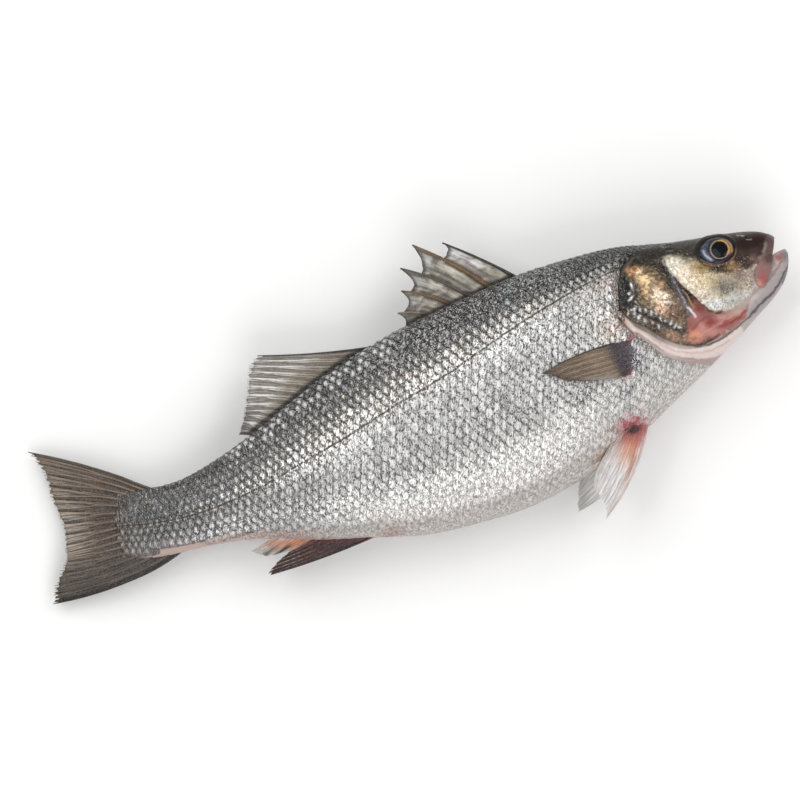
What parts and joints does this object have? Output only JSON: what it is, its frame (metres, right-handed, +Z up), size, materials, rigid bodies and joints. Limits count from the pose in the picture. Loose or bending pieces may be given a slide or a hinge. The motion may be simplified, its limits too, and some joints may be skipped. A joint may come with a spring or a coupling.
{
  "type": "whole sea bass",
  "caption": "Whole raw fish lying on one flank, silver scaled body, head with gill cover and slightly open mouth, spiny and soft back fins, forked tail.",
  "frame": {"origin": "middle of the bottom of the bounding box, on the surface that the fish lies on", "axes": "+X along the body from tail to snout, +Y from belly to back, +Z up from the surface, out of the right flank"},
  "size_m": [0.449, 0.1802, 0.0647],
  "materials": {
    "scaled_skin": "wet overlapping silver scales, dark grey-olive along the back, pearl white on the belly",
    "head_skin": "wet smooth skin, dark olive crown, silver-gold cheek, bronze gill cover, pinkish white throat",
    "fin": "thin wet web of skin between fine darker rays, grey-brown, paler towards the edge",
    "eye": "clear glossy cornea over a blue-black pupil with a thin gold ring",
    "flesh": "wet pink-red skin inside the mouth and round the jaw joint"
  },
  "bodies": {
    "root": {"sea_bass": "scaled_skin"}
  },
  "joints": []
}
